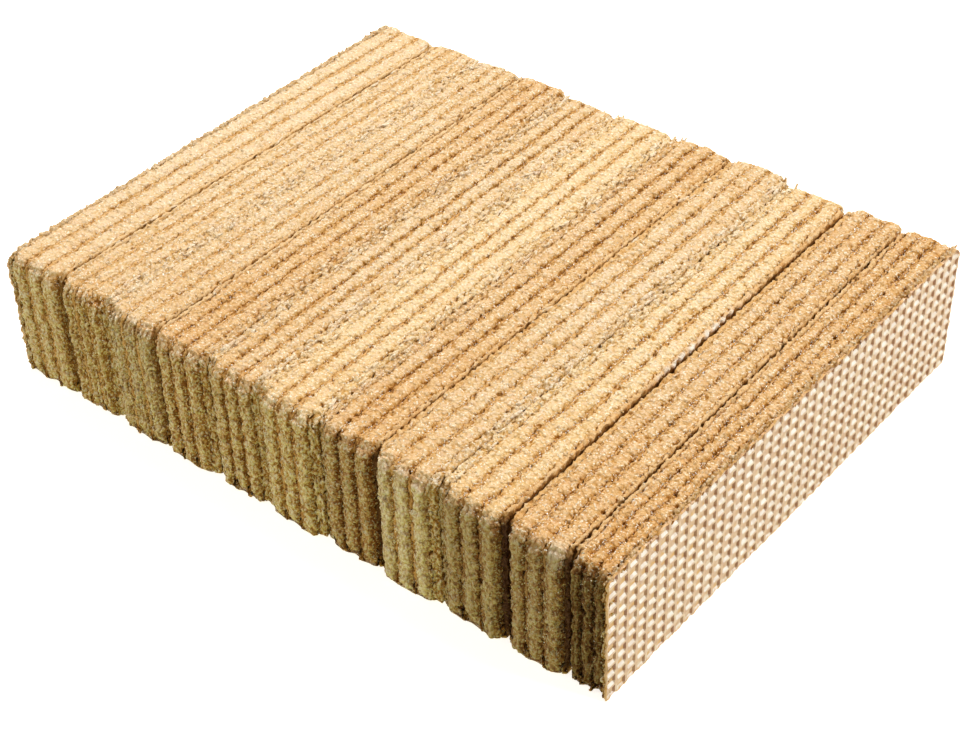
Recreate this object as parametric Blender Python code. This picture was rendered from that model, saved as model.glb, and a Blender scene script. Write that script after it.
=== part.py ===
"""A brick of eleven filled wafers that stand on edge side by side, as they lie in their packet.

Each wafer is one solid with its layers as relief: a crisp outer sheet on each side, three thick bands that
stand proud of the sheets, and two thin inner sheets sunk between the bands. The brick's two end faces carry
the square pits of the waffle iron.

Metres, +Z up. X runs across the wafers, Y along them from the front cut to the far cut, and the origin is
the middle of the underside.
"""

import math
import random
from dataclasses import dataclass
from itertools import accumulate

import bmesh
import bpy
from mathutils import Matrix

MM = 0.001

# The whole brick
BRICK_LENGTH = 140.4 * MM
BRICK_WIDTH = 111.4 * MM
BRICK_HEIGHT = 28.0 * MM

# The layers of one wafer, as shares of its thickness
BANDS = 3
OUTER_SHEET_SHARE = 0.115
INNER_SHEET_SHARE = 0.045
SHOULDER_SHARE = 0.05

# How far the sheets lie under the crest of the bands, and how round the cut edges are
OUTER_SHEET_DEPTH = 0.35 * MM
INNER_SHEET_DEPTH = 0.8 * MM
EDGE_RADIUS = 1.4 * MM
ARC_POINTS = 3

# Wear on the outer sheets' corners, which opens a small V between two wafers. The end faces have none.
FRONT_CORNER = 1.1 * MM
FAR_CORNER = 1.0 * MM
TOP_CORNER = 0.5 * MM
SHEET_ROOT_WEAR = 0.6
OUTER_BAND_WEAR = 0.3

# Hand-cut unevenness of the bands
UNEVEN = 0.25 * MM
UNEVEN_SEED = 11

# The waffle iron's pattern on the end faces
PIT_PITCH_ALONG = 2.73 * MM
PIT_PITCH_UP = 2.55 * MM
PIT_COLUMNS = 42
PIT_ROWS = 13
PIT_DEPTH = 0.4 * MM
PIT_WALL = 0.5 * MM
IRON_THICKNESS = 2.0 * MM
IRON_BITE = 0.05 * MM

# How dark the wafers are baked
BAKES = {
    "pale": (0.80, 0.58, 0.30),
    "golden": (0.76, 0.51, 0.24),
    "toasted": (0.70, 0.43, 0.18),
}
BAKED_ROUGHNESS = 0.85


@dataclass(frozen=True)
class Wafer:
    """One wafer's own sizes, in millimetres.

    front and far are its thickness at its two ends. front_in, far_in and top_in are how far those faces
    stand back from the brick's outermost ones. corner is how far its right corner is worn away at the far
    end, and crack is the gap that parts it from the next wafer.
    """

    front: float
    far: float
    front_in: float
    far_in: float
    top_in: float
    corner: float
    crack: float
    bake: str


WAFERS = (
    Wafer(front=14.5, far=15.3, front_in=0.6, far_in=1.7, top_in=0.2, corner=2.4, crack=0.5, bake="pale"),
    Wafer(front=12.4, far=11.8, front_in=0.8, far_in=0.9, top_in=0.3, corner=0.8, crack=0.3, bake="pale"),
    Wafer(front=13.2, far=11.0, front_in=0.3, far_in=1.0, top_in=0.1, corner=2.0, crack=0.4, bake="pale"),
    Wafer(front=12.7, far=12.1, front_in=0.2, far_in=0.1, top_in=0.2, corner=3.2, crack=0.3, bake="toasted"),
    Wafer(front=12.7, far=13.2, front_in=0.4, far_in=1.3, top_in=0.3, corner=1.2, crack=0.3, bake="pale"),
    Wafer(front=13.7, far=14.1, front_in=0.0, far_in=0.8, top_in=0.1, corner=1.4, crack=0.3, bake="golden"),
    Wafer(front=12.7, far=13.2, front_in=0.5, far_in=0.5, top_in=0.2, corner=1.2, crack=0.4, bake="toasted"),
    Wafer(front=13.7, far=13.5, front_in=0.1, far_in=0.0, top_in=0.0, corner=1.7, crack=0.3, bake="pale"),
    Wafer(front=13.9, far=13.5, front_in=0.4, far_in=1.4, top_in=0.2, corner=2.1, crack=0.9, bake="golden"),
    Wafer(front=12.6, far=11.6, front_in=0.3, far_in=0.8, top_in=0.1, corner=3.8, crack=0.7, bake="toasted"),
    Wafer(front=8.3, far=11.1, front_in=1.0, far_in=0.7, top_in=0.3, corner=0.0, crack=0.0, bake="toasted"),
)


@dataclass(frozen=True)
class Station:
    """One ring of a wafer's loft.

    share is how far through the wafer's thickness the ring lies, depth how far it lies under the bands'
    crest, wear how much of the corner wear it takes, and band the band that it is the crest of, if any.
    """

    share: float
    depth: float
    wear: float
    band: int | None = None


def clear_scene():
    for obj in list(bpy.data.objects):
        bpy.data.objects.remove(obj, do_unlink=True)


def new_collection(name):
    collection = bpy.data.collections.new(name)
    bpy.context.scene.collection.children.link(collection)
    return collection


def baked_material(name, colour):
    """A dry, matt baked finish."""
    material = bpy.data.materials.new(name)
    material.use_nodes = True
    shader = material.node_tree.nodes["Principled BSDF"]
    shader.inputs["Base Color"].default_value = (*colour, 1.0)
    shader.inputs["Roughness"].default_value = BAKED_ROUGHNESS
    shader.inputs["Metallic"].default_value = 0.0
    return material


def dividing_lines(thicknesses):
    """The x of both end faces and of every crack between them, for thicknesses read along one cut."""
    edges = [0.0, *accumulate(thicknesses)]
    return [(edge / edges[-1] - 0.5) * BRICK_LENGTH for edge in edges]


def between(start, end, share):
    """The value at a share of the way from start to end."""
    return start + (end - start) * share


def stations():
    """The rings of a wafer from left to right: outer sheet, bands with inner sheets between, outer sheet."""
    band_share = (1 - 2 * OUTER_SHEET_SHARE - (BANDS - 1) * INNER_SHEET_SHARE) / BANDS
    rings = [
        Station(0.0, OUTER_SHEET_DEPTH, 1.0),
        Station(OUTER_SHEET_SHARE, OUTER_SHEET_DEPTH, SHEET_ROOT_WEAR),
    ]
    for band in range(BANDS):
        start = OUTER_SHEET_SHARE + band * (band_share + INNER_SHEET_SHARE)
        end = start + band_share
        first, last = band == 0, band == BANDS - 1
        if not first:
            rings.append(Station(start, INNER_SHEET_DEPTH, 0.0))
        rings.append(Station(start + SHOULDER_SHARE, 0.0, OUTER_BAND_WEAR if first else 0.0, band))
        rings.append(Station(end - SHOULDER_SHARE, 0.0, OUTER_BAND_WEAR if last else 0.0, band))
        if not last:
            rings.append(Station(end, INNER_SHEET_DEPTH, 0.0))
    rings.append(Station(1 - OUTER_SHEET_SHARE, OUTER_SHEET_DEPTH, SHEET_ROOT_WEAR))
    rings.append(Station(1.0, OUTER_SHEET_DEPTH, 1.0))
    return rings


def outline(front, far, bottom, top):
    """A rounded rectangle round the wafer, with a few points along its cut sides and none along its base.

    Returns (y, z, outward y, outward z) for each point, from the bottom front corner along the underside.
    """
    corners = (
        (front + EDGE_RADIUS, bottom + EDGE_RADIUS, 180),
        (far - EDGE_RADIUS, bottom + EDGE_RADIUS, 270),
        (far - EDGE_RADIUS, top - EDGE_RADIUS, 0),
        (front + EDGE_RADIUS, top - EDGE_RADIUS, 90),
    )
    side_shares = ((), (1 / 2,), (1 / 3, 2 / 3), (1 / 2,))
    points = []
    for number, (y, z, first_angle) in enumerate(corners):
        for step in range(ARC_POINTS):
            angle = math.radians(first_angle + 90 * step / (ARC_POINTS - 1))
            out_y, out_z = math.cos(angle), math.sin(angle)
            points.append((y + EDGE_RADIUS * out_y, z + EDGE_RADIUS * out_z, out_y, out_z))
        next_y, next_z, _ = corners[(number + 1) % len(corners)]
        for share in side_shares[number]:
            side_y = between(y, next_y, share) + EDGE_RADIUS * out_y
            side_z = between(z, next_z, share) + EDGE_RADIUS * out_z
            points.append((side_y, side_z, out_y, out_z))
    return points


def ring_points(wafer, station, left, right, dents):
    """One ring's corners in space.

    left and right are the wafer's two faces, each given by its x at the front and at the far end.
    """
    on_right = station.share > 0.5
    at_end_face = wafer is (WAFERS[-1] if on_right else WAFERS[0])
    wear = 0.0 if at_end_face else station.wear
    far_corner = wafer.corner * MM if on_right else FAR_CORNER
    front = -BRICK_WIDTH / 2 + wafer.front_in * MM + station.depth + wear * FRONT_CORNER
    far = BRICK_WIDTH / 2 - wafer.far_in * MM - station.depth - wear * far_corner
    top = BRICK_HEIGHT - wafer.top_in * MM - station.depth - wear * TOP_CORNER
    points = []
    for (y, z, out_y, out_z), dent in zip(outline(front, far, station.depth, top), dents):
        y -= dent * out_y
        z -= dent * max(out_z, 0.0)
        along = y / BRICK_WIDTH + 0.5
        x = between(between(*left, along), between(*right, along), station.share)
        points.append((x, y, z))
    return points


def wafer_mesh(name, wafer, left, right, chance):
    """The wafer as a loft through its rings, closed by a flat face on each side."""
    point_count = len(outline(-1.0, 1.0, 0.0, 1.0))
    level = [0.0] * point_count
    dents = [[chance.uniform(0.0, UNEVEN) for _ in range(point_count)] for _ in range(BANDS)]
    dents[BANDS // 2] = level
    bm = bmesh.new()
    rings = []
    for station in stations():
        ring_dents = level if station.band is None else dents[station.band]
        points = ring_points(wafer, station, left, right, ring_dents)
        rings.append([bm.verts.new(point) for point in points])
    for ring, after in zip(rings, rings[1:]):
        for i in range(point_count):
            j = (i + 1) % point_count
            bm.faces.new((ring[i], ring[j], after[j], after[i]))
    bm.faces.new(reversed(rings[0]))
    bm.faces.new(rings[-1])
    bmesh.ops.recalc_face_normals(bm, faces=bm.faces)
    mesh = bpy.data.meshes.new(name)
    bm.to_mesh(mesh)
    bm.free()
    return mesh


def add_wafers(collection, materials):
    """The row of wafers, each kept clear of the next by half a crack on either side."""
    front_lines = dividing_lines([wafer.front for wafer in WAFERS])
    far_lines = dividing_lines([wafer.far for wafer in WAFERS])
    chance = random.Random(UNEVEN_SEED)
    crack_before = 0.0
    wafers = []
    for number, wafer in enumerate(WAFERS):
        crack_after = wafer.crack * MM
        left = (front_lines[number] + crack_before / 2, far_lines[number] + crack_before / 2)
        right = (front_lines[number + 1] - crack_after / 2, far_lines[number + 1] - crack_after / 2)
        name = f"wafer_{number + 1:02d}"
        obj = bpy.data.objects.new(name, wafer_mesh(name, wafer, left, right, chance))
        obj.data.materials.append(materials[wafer.bake])
        collection.objects.link(obj)
        wafers.append(obj)
        crack_before = crack_after
    return wafers


def waffle_iron(name, face_x, outward, collection):
    """A plate of the waffle iron, whose pegs press the pits into an end face.

    It bites a little way into the flat face at face_x, so that the ribs between the pegs meet in an edge.
    outward is +1 or -1, the way that the face looks along X.
    """
    bm = bmesh.new()
    bmesh.ops.create_grid(bm, x_segments=PIT_COLUMNS, y_segments=PIT_ROWS, size=0.5)
    bmesh.ops.scale(bm, vec=(PIT_COLUMNS * PIT_PITCH_ALONG, PIT_ROWS * PIT_PITCH_UP, 1.0), verts=bm.verts)
    rim = [edge for edge in bm.edges if edge.is_boundary]
    back = bmesh.ops.extrude_edge_only(bm, edges=rim)["geom"]
    back_verts = [item for item in back if isinstance(item, bmesh.types.BMVert)]
    back_edges = [item for item in back if isinstance(item, bmesh.types.BMEdge) and item.is_boundary]
    bmesh.ops.translate(bm, vec=(0.0, 0.0, -IRON_THICKNESS), verts=back_verts)
    bmesh.ops.edgeloop_fill(bm, edges=back_edges)
    bmesh.ops.recalc_face_normals(bm, faces=bm.faces)
    cells = [face for face in bm.faces if face.normal.z > 0.9]
    bmesh.ops.inset_individual(bm, faces=cells, thickness=PIT_WALL, depth=PIT_DEPTH)
    # The grid's X and Y turn to run along and up the end face, and its Z to point into the brick.
    quarter = Matrix.Rotation(math.radians(90), 4, "X")
    sideways = Matrix.Rotation(math.radians(90 if outward < 0 else -90), 4, "Z")
    place = Matrix.Translation((face_x - outward * IRON_BITE, 0.0, BRICK_HEIGHT / 2))
    bmesh.ops.transform(bm, matrix=place @ sideways @ quarter, verts=bm.verts)
    mesh = bpy.data.meshes.new(name)
    bm.to_mesh(mesh)
    bm.free()
    iron = bpy.data.objects.new(name, mesh)
    iron.hide_render = True
    iron.display_type = "WIRE"
    collection.objects.link(iron)
    return iron


def press_waffle(wafer, iron):
    """Cuts the iron's shape out of a wafer's end face."""
    pits = wafer.modifiers.new("waffle_pits", "BOOLEAN")
    pits.operation = "DIFFERENCE"
    pits.object = iron


def main():
    clear_scene()
    brick = new_collection("wafer_brick")
    cutters = new_collection("cutters")
    materials = {bake: baked_material(f"{bake}_wafer", colour) for bake, colour in BAKES.items()}
    wafers = add_wafers(brick, materials)
    press_waffle(wafers[0], waffle_iron("left_iron", -BRICK_LENGTH / 2, -1, cutters))
    press_waffle(wafers[-1], waffle_iron("right_iron", BRICK_LENGTH / 2, 1, cutters))


main()
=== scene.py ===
"""Dresses a brick of eleven filled wafers that stand on edge side by side.

Each wafer is made layer by layer round its place in the frame: two crisp outer sheets, three thick
sandy bands and two thin inner sheets sunk between them. Loose crumbs, torn flakes and sugar lie on
the cut sides, and the brick's two end faces carry the square pits of the waffle iron.

Shapes are worked out in millimetres and become metres as they turn into meshes. X runs across the
wafers, Y along them from the front cut to the far cut, and Z up.
"""

import logging  # noqa: E402
import math  # noqa: E402
from dataclasses import dataclass, field  # noqa: E402
from enum import Enum  # noqa: E402
from functools import partial, reduce  # noqa: E402
from itertools import accumulate  # noqa: E402
from typing import Any  # noqa: E402

import bpy  # noqa: E402
import numpy as np  # noqa: E402
from mathutils import Matrix, Vector  # noqa: E402


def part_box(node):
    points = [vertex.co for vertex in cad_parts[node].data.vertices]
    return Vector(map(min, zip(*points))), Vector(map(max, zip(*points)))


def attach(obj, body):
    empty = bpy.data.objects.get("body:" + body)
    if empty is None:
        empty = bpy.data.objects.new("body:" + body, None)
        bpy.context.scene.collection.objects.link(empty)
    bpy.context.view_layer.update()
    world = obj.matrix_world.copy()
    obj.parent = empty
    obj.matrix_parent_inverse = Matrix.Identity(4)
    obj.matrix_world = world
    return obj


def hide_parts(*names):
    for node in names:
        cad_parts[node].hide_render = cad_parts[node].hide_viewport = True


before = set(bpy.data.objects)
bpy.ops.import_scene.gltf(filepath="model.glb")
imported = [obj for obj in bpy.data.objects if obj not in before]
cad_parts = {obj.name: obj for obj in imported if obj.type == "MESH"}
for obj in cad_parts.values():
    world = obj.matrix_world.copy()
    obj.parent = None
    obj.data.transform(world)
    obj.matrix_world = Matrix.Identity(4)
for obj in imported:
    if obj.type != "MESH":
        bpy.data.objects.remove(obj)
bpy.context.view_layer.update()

log = logging.getLogger("wafer_brick")

MM = 0.001
Colour = tuple[float, float, float]
Point = tuple[float, float, float]
Socket = bpy.types.NodeSocket
Array = np.ndarray

# The waffle iron's pits, in millimetres, on the same lines as in the frame
PITCH_ALONG = 2.73
PITCH_UP = 2.55
PIT_MIDDLE_HEIGHT = 14.0
RIB_HEIGHT = PIT_MIDDLE_HEIGHT + PITCH_UP / 2
BRICK_HEIGHT = 28.0

# The waffle face's patches of wear, the waves of its cut edge, and how near to its edge no other
# row of points lies, in millimetres
WEAR_SIZE = 2.0
FRAY_SIZE = 1.4
EDGE_GAP = 0.1

# The layers of a wafer, as shares of its thickness
BANDS = 3
INNER_SHEET_SHARE = 0.045
WAFFLE_SHARE = 0.05

# How the cut sides are sampled, in millimetres
RIM_STEP = 0.34
BASE_STEP = 2.0
BASE_RADIUS = 0.4
TOP_RADII = (2.0, 2.5)
ROOT_DEPTH = 2.4
LAYER_GAP = 0.02

# The rings that a band and an outer sheet are lofted through
BAND_RINGS = 15
SHEET_RINGS = (0.0, 0.12, 0.28, 0.45, 0.62, 0.78, 0.9, 1.0)

# How many waves a ripple is made of
RIPPLE_WAVES = 26

# A slab's ends lie beyond this y, and a side's points this near to its plane, in millimetres
END_PLACE = 45.0
SIDE_REACH = 0.03

# The depth under the crests at which a band and a sheet are darkest, in millimetres
BAND_SHADOW = 0.78
SHEET_SHADOW = 1.3

# Where all the bands' tops are darker or paler: how much, at which y and how far from it, in mm
TOP_TONE_PATCHES = ((0.5, -56.0, 28.0), (0.2, 56.0, 20.0), (-0.15, 12.0, 25.0))

# Where filling shows on the sheets that it sticks to, along Y and in millimetres
CREAM_PLACE = 4.0
CREAM_REACH = 14.0

# The lumps, grains and pores of the baked surface, in millimetres
SURFACE = {
    "Lump size": 1.6,
    "Lump height": 0.12,
    "Grain size": 0.66,
    "Grain height": 0.2,
    "Pore size": 1.1,
    "Pore depth": 0.3,
}

# The loose bits: how many lie on a square metre, and their least and greatest radius in mm
STREWN = {
    "crumbs": (0.85e6, 0.14, 0.32),
    "flakes": (0.3e6, 0.5, 0.95),
    "sugar": (1.3e6, 0.07, 0.13),
}


def hill(place: Any, middle: float, reach: float) -> Any:
    """1 at the middle, and nearly 0 at twice the reach from it."""
    return np.exp(-(((place - middle) / reach) ** 2))


def add_object(name: str, data: bpy.types.ID) -> bpy.types.Object:
    """Makes an object of a mesh, lamp or camera and puts it in the scene.

    Args:
        name: Its name.
        data: The mesh, lamp or camera.

    Returns:
        The object.
    """
    obj = bpy.data.objects.new(name, data)
    bpy.context.scene.collection.objects.link(obj)
    return obj


class Graph:
    """A node tree, with short ways to add nodes and to join them."""

    def __init__(self, tree: bpy.types.NodeTree) -> None:
        """Keeps the tree that the nodes go into."""
        self.tree = tree

    def feed(self, socket: Socket, value: Any) -> None:
        """Gives an input its value, or links it to another node's output.

        Args:
            socket: The input.
            value: A plain value, or the output socket that feeds it.
        """
        if isinstance(value, Socket):
            self.tree.links.new(value, socket)
        else:
            socket.default_value = value

    def node(self, kind: str, inputs: dict | None = None, **settings: Any) -> bpy.types.Node:
        """Adds a node.

        Args:
            kind: The node's type.
            inputs: What each input gets, by name or number.
            settings: The node's own properties.

        Returns:
            The new node.
        """
        node = self.tree.nodes.new(kind)
        for key, value in settings.items():
            setattr(node, key, value)
        for key, value in (inputs or {}).items():
            self.feed(node.inputs[key], value)
        return node

    def add(self, kind: str, inputs: dict | None = None, output: Any = 0, **more: Any) -> Socket:
        """Adds a node in the same way, and gives one of its outputs."""
        return self.node(kind, inputs, **more).outputs[output]

    def math(self, operation: str, *values: Any, clamp: bool = False) -> Socket:
        """The result of one Math node."""
        settings = {"operation": operation, "use_clamp": clamp}
        return self.add("ShaderNodeMath", dict(enumerate(values)), **settings)

    def plus(self, *values: Any) -> Socket:
        """The sum of some numbers."""
        return reduce(partial(self.math, "ADD"), values)

    def times(self, *values: Any) -> Socket:
        """The product of some numbers."""
        return reduce(partial(self.math, "MULTIPLY"), values)

    def vector(self, operation: str, *values: Any) -> Socket:
        """The vector that one Vector Math node gives."""
        return self.add("ShaderNodeVectorMath", dict(enumerate(values)), operation=operation)

    def scaled(self, vector: Socket, factor: Any) -> Socket:
        """A vector times a number."""
        return self.add("ShaderNodeVectorMath", {0: vector, 3: factor}, operation="SCALE")

    def spread(self, value: Any, *ends: float) -> Socket:
        """A value mapped from one range to another, held to its ends.

        Args:
            value: What is mapped.
            ends: The ends of its range, then those of the new range where that isn't 0 to 1.

        Returns:
            The mapped value.
        """
        return self.add("ShaderNodeMapRange", dict(enumerate((value, *ends))))

    def sway(self, noise: Socket, reach: float) -> Socket:
        """Soft noise mapped to lie this far to both sides of 0."""
        return self.spread(noise, 0.3, 0.7, -reach, reach)

    def noise(self, vector: Socket, size: Any, detail: float = 1.0, seed: Any = 0.0) -> Socket:
        """Soft noise from about 0.2 to 0.8.

        Args:
            vector: Where it is read, in metres.
            size: How large its lumps are, in metres.
            detail: How much finer noise lies on it.
            seed: Which noise it is.

        Returns:
            The noise.
        """
        scale = self.math("DIVIDE", 1.0, size)
        inputs = {"Vector": vector, "W": seed, "Scale": scale, "Detail": detail}
        return self.add("ShaderNodeTexNoise", inputs, noise_dimensions="4D")

    def cells(self, vector: Socket, size: float) -> Socket:
        """How far each place lies from the middle of its cell, in cells of this size in metres."""
        inputs = {"Vector": vector, "Scale": self.math("DIVIDE", 1.0, size)}
        return self.add("ShaderNodeTexVoronoi", inputs, "Distance")


class ShaderGraph(Graph):
    """The nodes of one finish."""

    def __init__(self, name: str) -> None:
        """Makes the material and finds its shader."""
        self.material = bpy.data.materials.new(name)
        self.material.use_nodes = True
        super().__init__(self.material.node_tree)
        self.place = self.add("ShaderNodeTexCoord", output="Object")

    def attribute(self, name: str) -> Socket:
        """A number that the mesh holds at each point."""
        return self.add("ShaderNodeAttribute", output="Fac", attribute_name=name)

    def ramp(self, factor: Socket, stops: dict[float, Colour]) -> Socket:
        """A colour read off a row of stops.

        Args:
            factor: Where on the row it is read.
            stops: The colour at each place, from the lowest place up.

        Returns:
            The colour.
        """
        node = self.node("ShaderNodeValToRGB", {0: factor})
        elements = node.color_ramp.elements
        while len(elements) < len(stops):
            elements.new(0.5)
        for element, place in zip(elements, stops):
            element.position = place
            element.color = (*stops[place], 1.0)
        return node.outputs["Color"]

    def mix(self, factor: Any, first: Any, second: Any, blend: str = "MIX") -> Socket:
        """Two colours mixed.

        Args:
            factor: How much of the second there is.
            first: The first colour.
            second: The second colour.
            blend: How the second is laid on the first.

        Returns:
            The mixed colour.
        """
        first, second = (c if isinstance(c, Socket) else (*c, 1.0) for c in (first, second))
        inputs = {0: factor, 6: first, 7: second}
        return self.add("ShaderNodeMix", inputs, 2, data_type="RGBA", blend_type=blend)

    def toasted(self, colour: Socket, patch: Socket, reach: float, toast: Colour) -> Socket:
        """A colour darkened where the mesh's tone is high, by more in some patches."""
        tone = self.math("ADD", self.attribute("tone"), self.sway(patch, reach), clamp=True)
        return self.mix(tone, colour, toast, "MULTIPLY")

    def coated(self, colour: Socket, cream: Colour, shade_tint: Colour) -> Socket:
        """A colour with filling on it, and darkened by the shade mark, painted shade in recesses.
        """
        colour = self.mix(self.attribute("cream"), colour, cream)
        return self.mix(self.attribute("shade"), colour, shade_tint, "MULTIPLY")

    def bump(self, height: Socket, distance: float, strength: float = 1.0) -> Socket:
        """A normal roughened by a height, whose whole range stands for this distance in metres."""
        inputs = {"Height": height, "Distance": distance, "Strength": strength}
        return self.add("ShaderNodeBump", inputs)

    def dress(self, *values: Any) -> bpy.types.Material:
        """Feeds the shader.

        Args:
            values: Its colour and roughness, then its specular level and normal if they are set.

        Returns:
            The finished material.
        """
        shader = self.tree.nodes["Principled BSDF"]
        names = ("Base Color", "Roughness", "Specular IOR Level", "Normal")
        for name, value in zip(names, values):
            self.feed(shader.inputs[name], value)
        return self.material


@dataclass(frozen=True)
class SandyFinish:
    """Dry baked crumb: pale on its crests, orange brown in its hollows, partly as painted shade.

    Attributes:
        name: The material's name.
        hollow: The colour deep in the grooves, partly its own and partly painted shade.
        flank: The colour on the bands' sides.
        body: The colour of most of the surface.
        crest: The colour of the highest grains.
        toast: What the colour is multiplied by where a band is baked darker.
        blush: What it is multiplied by where the grains are pinker.
        speck_and_highlight: The colour of the palest specks, partly pale grains and partly painted
            highlights.
        shade_tint: What it is multiplied by on a darker front cut, and as painted shade in
            recesses.
        cream: The colour where filling shows.
    """

    name: str
    hollow: Colour
    flank: Colour
    body: Colour
    crest: Colour
    toast: Colour = (0.95, 0.84, 0.68)
    blush: Colour = (0.96, 0.90, 0.96)
    speck_and_highlight: Colour = (0.97, 0.90, 0.74)
    shade_tint: Colour = (0.33, 0.29, 0.18)
    cream: Colour = (0.97, 0.92, 0.82)

    def material(self) -> bpy.types.Material:
        """Builds the finish."""
        graph = ShaderGraph(self.name)
        upright, rough = graph.attribute("upright"), graph.attribute("rough")
        # On the cut ends the grains run up and down.
        squeeze = {0: 1.0, 1: 1.0, 2: graph.spread(upright, 0.0, 1.0, 1.0, 0.7)}
        place = graph.vector("SUBTRACT", graph.place, (0.0, 0.0, BRICK_HEIGHT * MM))
        place = graph.vector("MULTIPLY", place, graph.add("ShaderNodeCombineXYZ", squeeze))
        grain = graph.noise(place, 0.42 * MM, 3.0)
        clump = graph.noise(place, 1.1 * MM, 1.0, 12.0)
        patch = graph.noise(graph.place, 7 * MM, 2.0, 3.0)
        hue = graph.noise(graph.place, 0.9 * MM, 1.0, 6.0)
        stray = graph.noise(graph.place, 0.38 * MM, 0.0, 9.0)
        kernel = graph.cells(place, 0.65 * MM)
        mottle = graph.plus(graph.sway(grain, 0.8), graph.sway(clump, 0.35))
        mottle = graph.plus(mottle, graph.spread(kernel, 0.15, 0.7, 0.6, -0.6))
        swing = graph.times(rough, graph.spread(upright, 0.0, 1.0, 0.28, 0.36))
        # The lower a point lies, the darker and more orange it is: partly the crumb's own colour,
        # partly painted shade.
        level = graph.plus(graph.attribute("relief"), graph.times(mottle, swing))
        stops = {0.0: self.hollow, 0.2: self.flank, 0.44: self.body, 0.68: self.crest}
        colour = graph.ramp(graph.math("DIVIDE", level, 1.3), stops | {1.0: self.speck_and_highlight})
        colour = graph.toasted(colour, patch, 0.18, self.toast)
        colour = graph.mix(graph.spread(hue, 0.45, 0.7, 0.0, 0.7), colour, self.blush, "MULTIPLY")
        # Pale specks, partly pale grains and partly painted highlights, more of them on the upright
        # cut ends.
        stray = graph.plus(stray, graph.times(upright, 0.08))
        colour = graph.mix(graph.spread(stray, 0.65, 0.72, 0.0, 0.8), colour, self.speck_and_highlight)
        colour = graph.coated(colour, self.cream, self.shade_tint)
        height = graph.math("SUBTRACT", grain, graph.math("POWER", kernel, 2.0))
        height = graph.times(height, graph.math("POWER", rough, 0.5))
        roughness = graph.spread(grain, 0.3, 0.7, 0.95, 0.7)
        return graph.dress(colour, roughness, 0.25, graph.bump(height, 0.32 * MM))


@dataclass(frozen=True)
class CrispFinish:
    """A thin baked sheet seen on edge: smooth, orange brown, with a paler lip.

    Attributes:
        name: The material's name.
        hollow: The colour deep in the cracks, partly its own and partly painted shade.
        body: The colour of most of the sheet.
        lip: The colour of its upper edge.
        toast: What the colour is multiplied by where it is baked darker.
        cream: The colour where filling sticks to it.
        shade_tint: What it is multiplied by on a darker front cut, and as painted shade in
            recesses.
    """

    name: str
    hollow: Colour
    body: Colour
    lip: Colour
    toast: Colour = (0.92, 0.78, 0.60)
    cream: Colour = (0.98, 0.95, 0.88)
    shade_tint: Colour = (0.20, 0.15, 0.10)

    def material(self) -> bpy.types.Material:
        """Builds the finish."""
        graph = ShaderGraph(self.name)
        fibre = graph.noise(graph.vector("MULTIPLY", graph.place, (2.2, 0.6, 0.6)), 0.5 * MM, 2.0)
        patch = graph.noise(graph.place, 5 * MM, 2.0, 5.0)
        grain = graph.noise(graph.place, 0.45 * MM, 2.0, 8.0)
        relief = graph.attribute("relief")
        # The lower a point lies, the darker it is: partly the sheet's own colour, partly painted
        # shade.
        level = graph.plus(relief, graph.sway(fibre, 0.14), graph.sway(grain, 0.3))
        colour = graph.ramp(level, {0.0: self.hollow, 0.35: self.body, 0.8: self.lip})
        colour = graph.toasted(colour, patch, 0.2, self.toast)
        colour = graph.coated(colour, self.cream, self.shade_tint)
        bump = graph.bump(graph.plus(fibre, grain), 0.28 * MM)
        return graph.dress(colour, graph.spread(fibre, 0.3, 0.7, 0.8, 0.6), 0.3, bump)


@dataclass(frozen=True)
class WaffleFinish:
    """The smooth face that lay on the waffle iron, with its cut edge baked orange brown.

    Attributes:
        name: The material's name.
        rib: The colour of the ribs between the pits.
        floor: The colour of the pits' floors.
        edge: The colour of the sheet's cut edge.
        shelf_highlight: The colour of the pits' lower walls, a painted highlight where they face
            up.
        wall: The colour of their side walls, painted shade.
        cloud: What the colour is multiplied by in wide patches.
        stain: What it is multiplied by in small ones.
        bloom: The colour of the paler patches.
    """

    name: str
    rib: Colour
    floor: Colour
    edge: Colour
    shelf_highlight: Colour
    wall: Colour
    cloud: Colour = (0.94, 0.88, 0.82)
    stain: Colour = (0.80, 0.66, 0.55)
    bloom: Colour = (0.94, 0.84, 0.78)

    def material(self) -> bpy.types.Material:
        """Builds the finish."""
        graph = ShaderGraph(self.name)
        mottle = graph.noise(graph.place, 1.1 * MM, 3.0)
        cloud = graph.spread(graph.noise(graph.place, 14 * MM, 2.0, 2.0), 0.4, 0.65)
        bloom = graph.spread(graph.noise(graph.place, 2.0 * MM, 2.0, 7.0), 0.5, 0.7, 0.0, 0.7)
        stain = graph.spread(mottle, 0.45, 0.65, 0.0, 0.8)
        colour = graph.mix(graph.attribute("pit"), self.rib, self.floor)
        colour = graph.mix(cloud, colour, self.cloud, "MULTIPLY")
        colour = graph.mix(stain, colour, self.stain, "MULTIPLY")
        colour = graph.mix(bloom, colour, self.bloom)
        # The pits' shelves get a painted highlight and their side walls painted shade; the cut edge
        # is baked orange brown.
        for mark, tint, ends in (
            ("shelf_highlight", self.shelf_highlight, (0.3, 0.6, 1.0, 0.6)),
            ("wall", self.wall, (0.3, 0.6, 0.5, 0.95)),
            ("cut", self.edge, (0.35, 0.6, 0.3, 1.0)),
        ):
            share = graph.times(graph.attribute(mark), graph.spread(mottle, *ends))
            colour = graph.mix(share, colour, tint)
        roughness = graph.spread(mottle, 0.3, 0.7, 0.5, 0.35)
        return graph.dress(colour, roughness, 0.85, graph.bump(mottle, 0.05 * MM, 0.5))


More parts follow.
